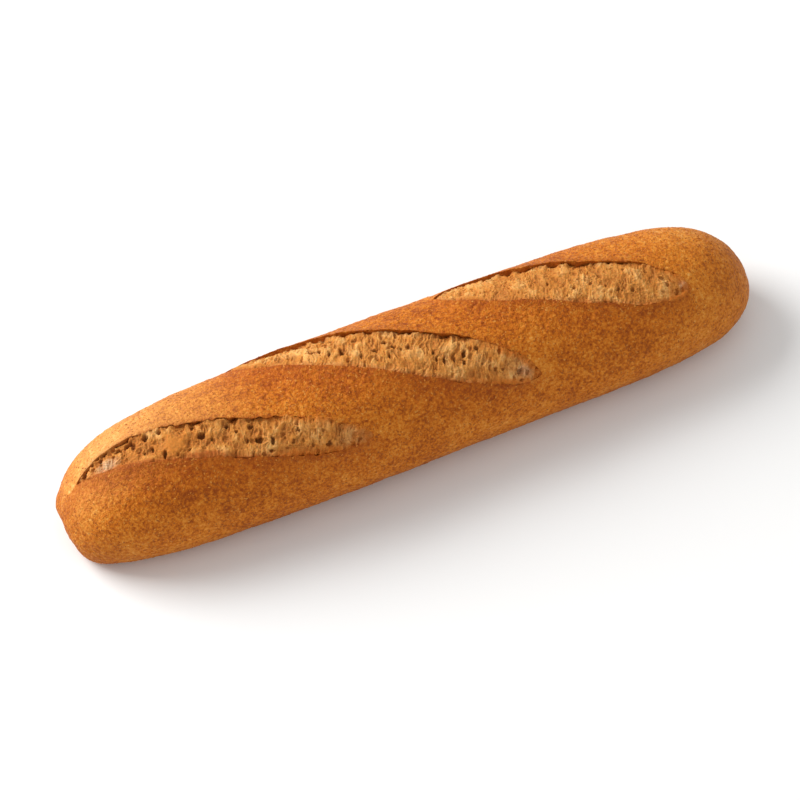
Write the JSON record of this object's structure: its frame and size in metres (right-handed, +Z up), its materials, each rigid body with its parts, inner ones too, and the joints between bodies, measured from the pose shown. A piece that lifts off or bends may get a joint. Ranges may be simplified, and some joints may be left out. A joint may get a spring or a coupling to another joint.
{
  "type": "wholemeal baguette",
  "caption": "Short wholemeal baguette with rounded ends, a flat base and long slanting slashes torn open across its crust, showing the crumb.",
  "frame": {"origin": "centre of the flat base, at the middle of the bounding box in X and Y", "axes": "+X along the loaf towards its rounder end, -Y towards its front, +Z up from the base to the crown"},
  "size_m": [0.2788, 0.0606, 0.0469],
  "materials": {
    "crust": null
  },
  "bodies": {
    "root": {"loaf": "crust"}
  },
  "joints": []
}
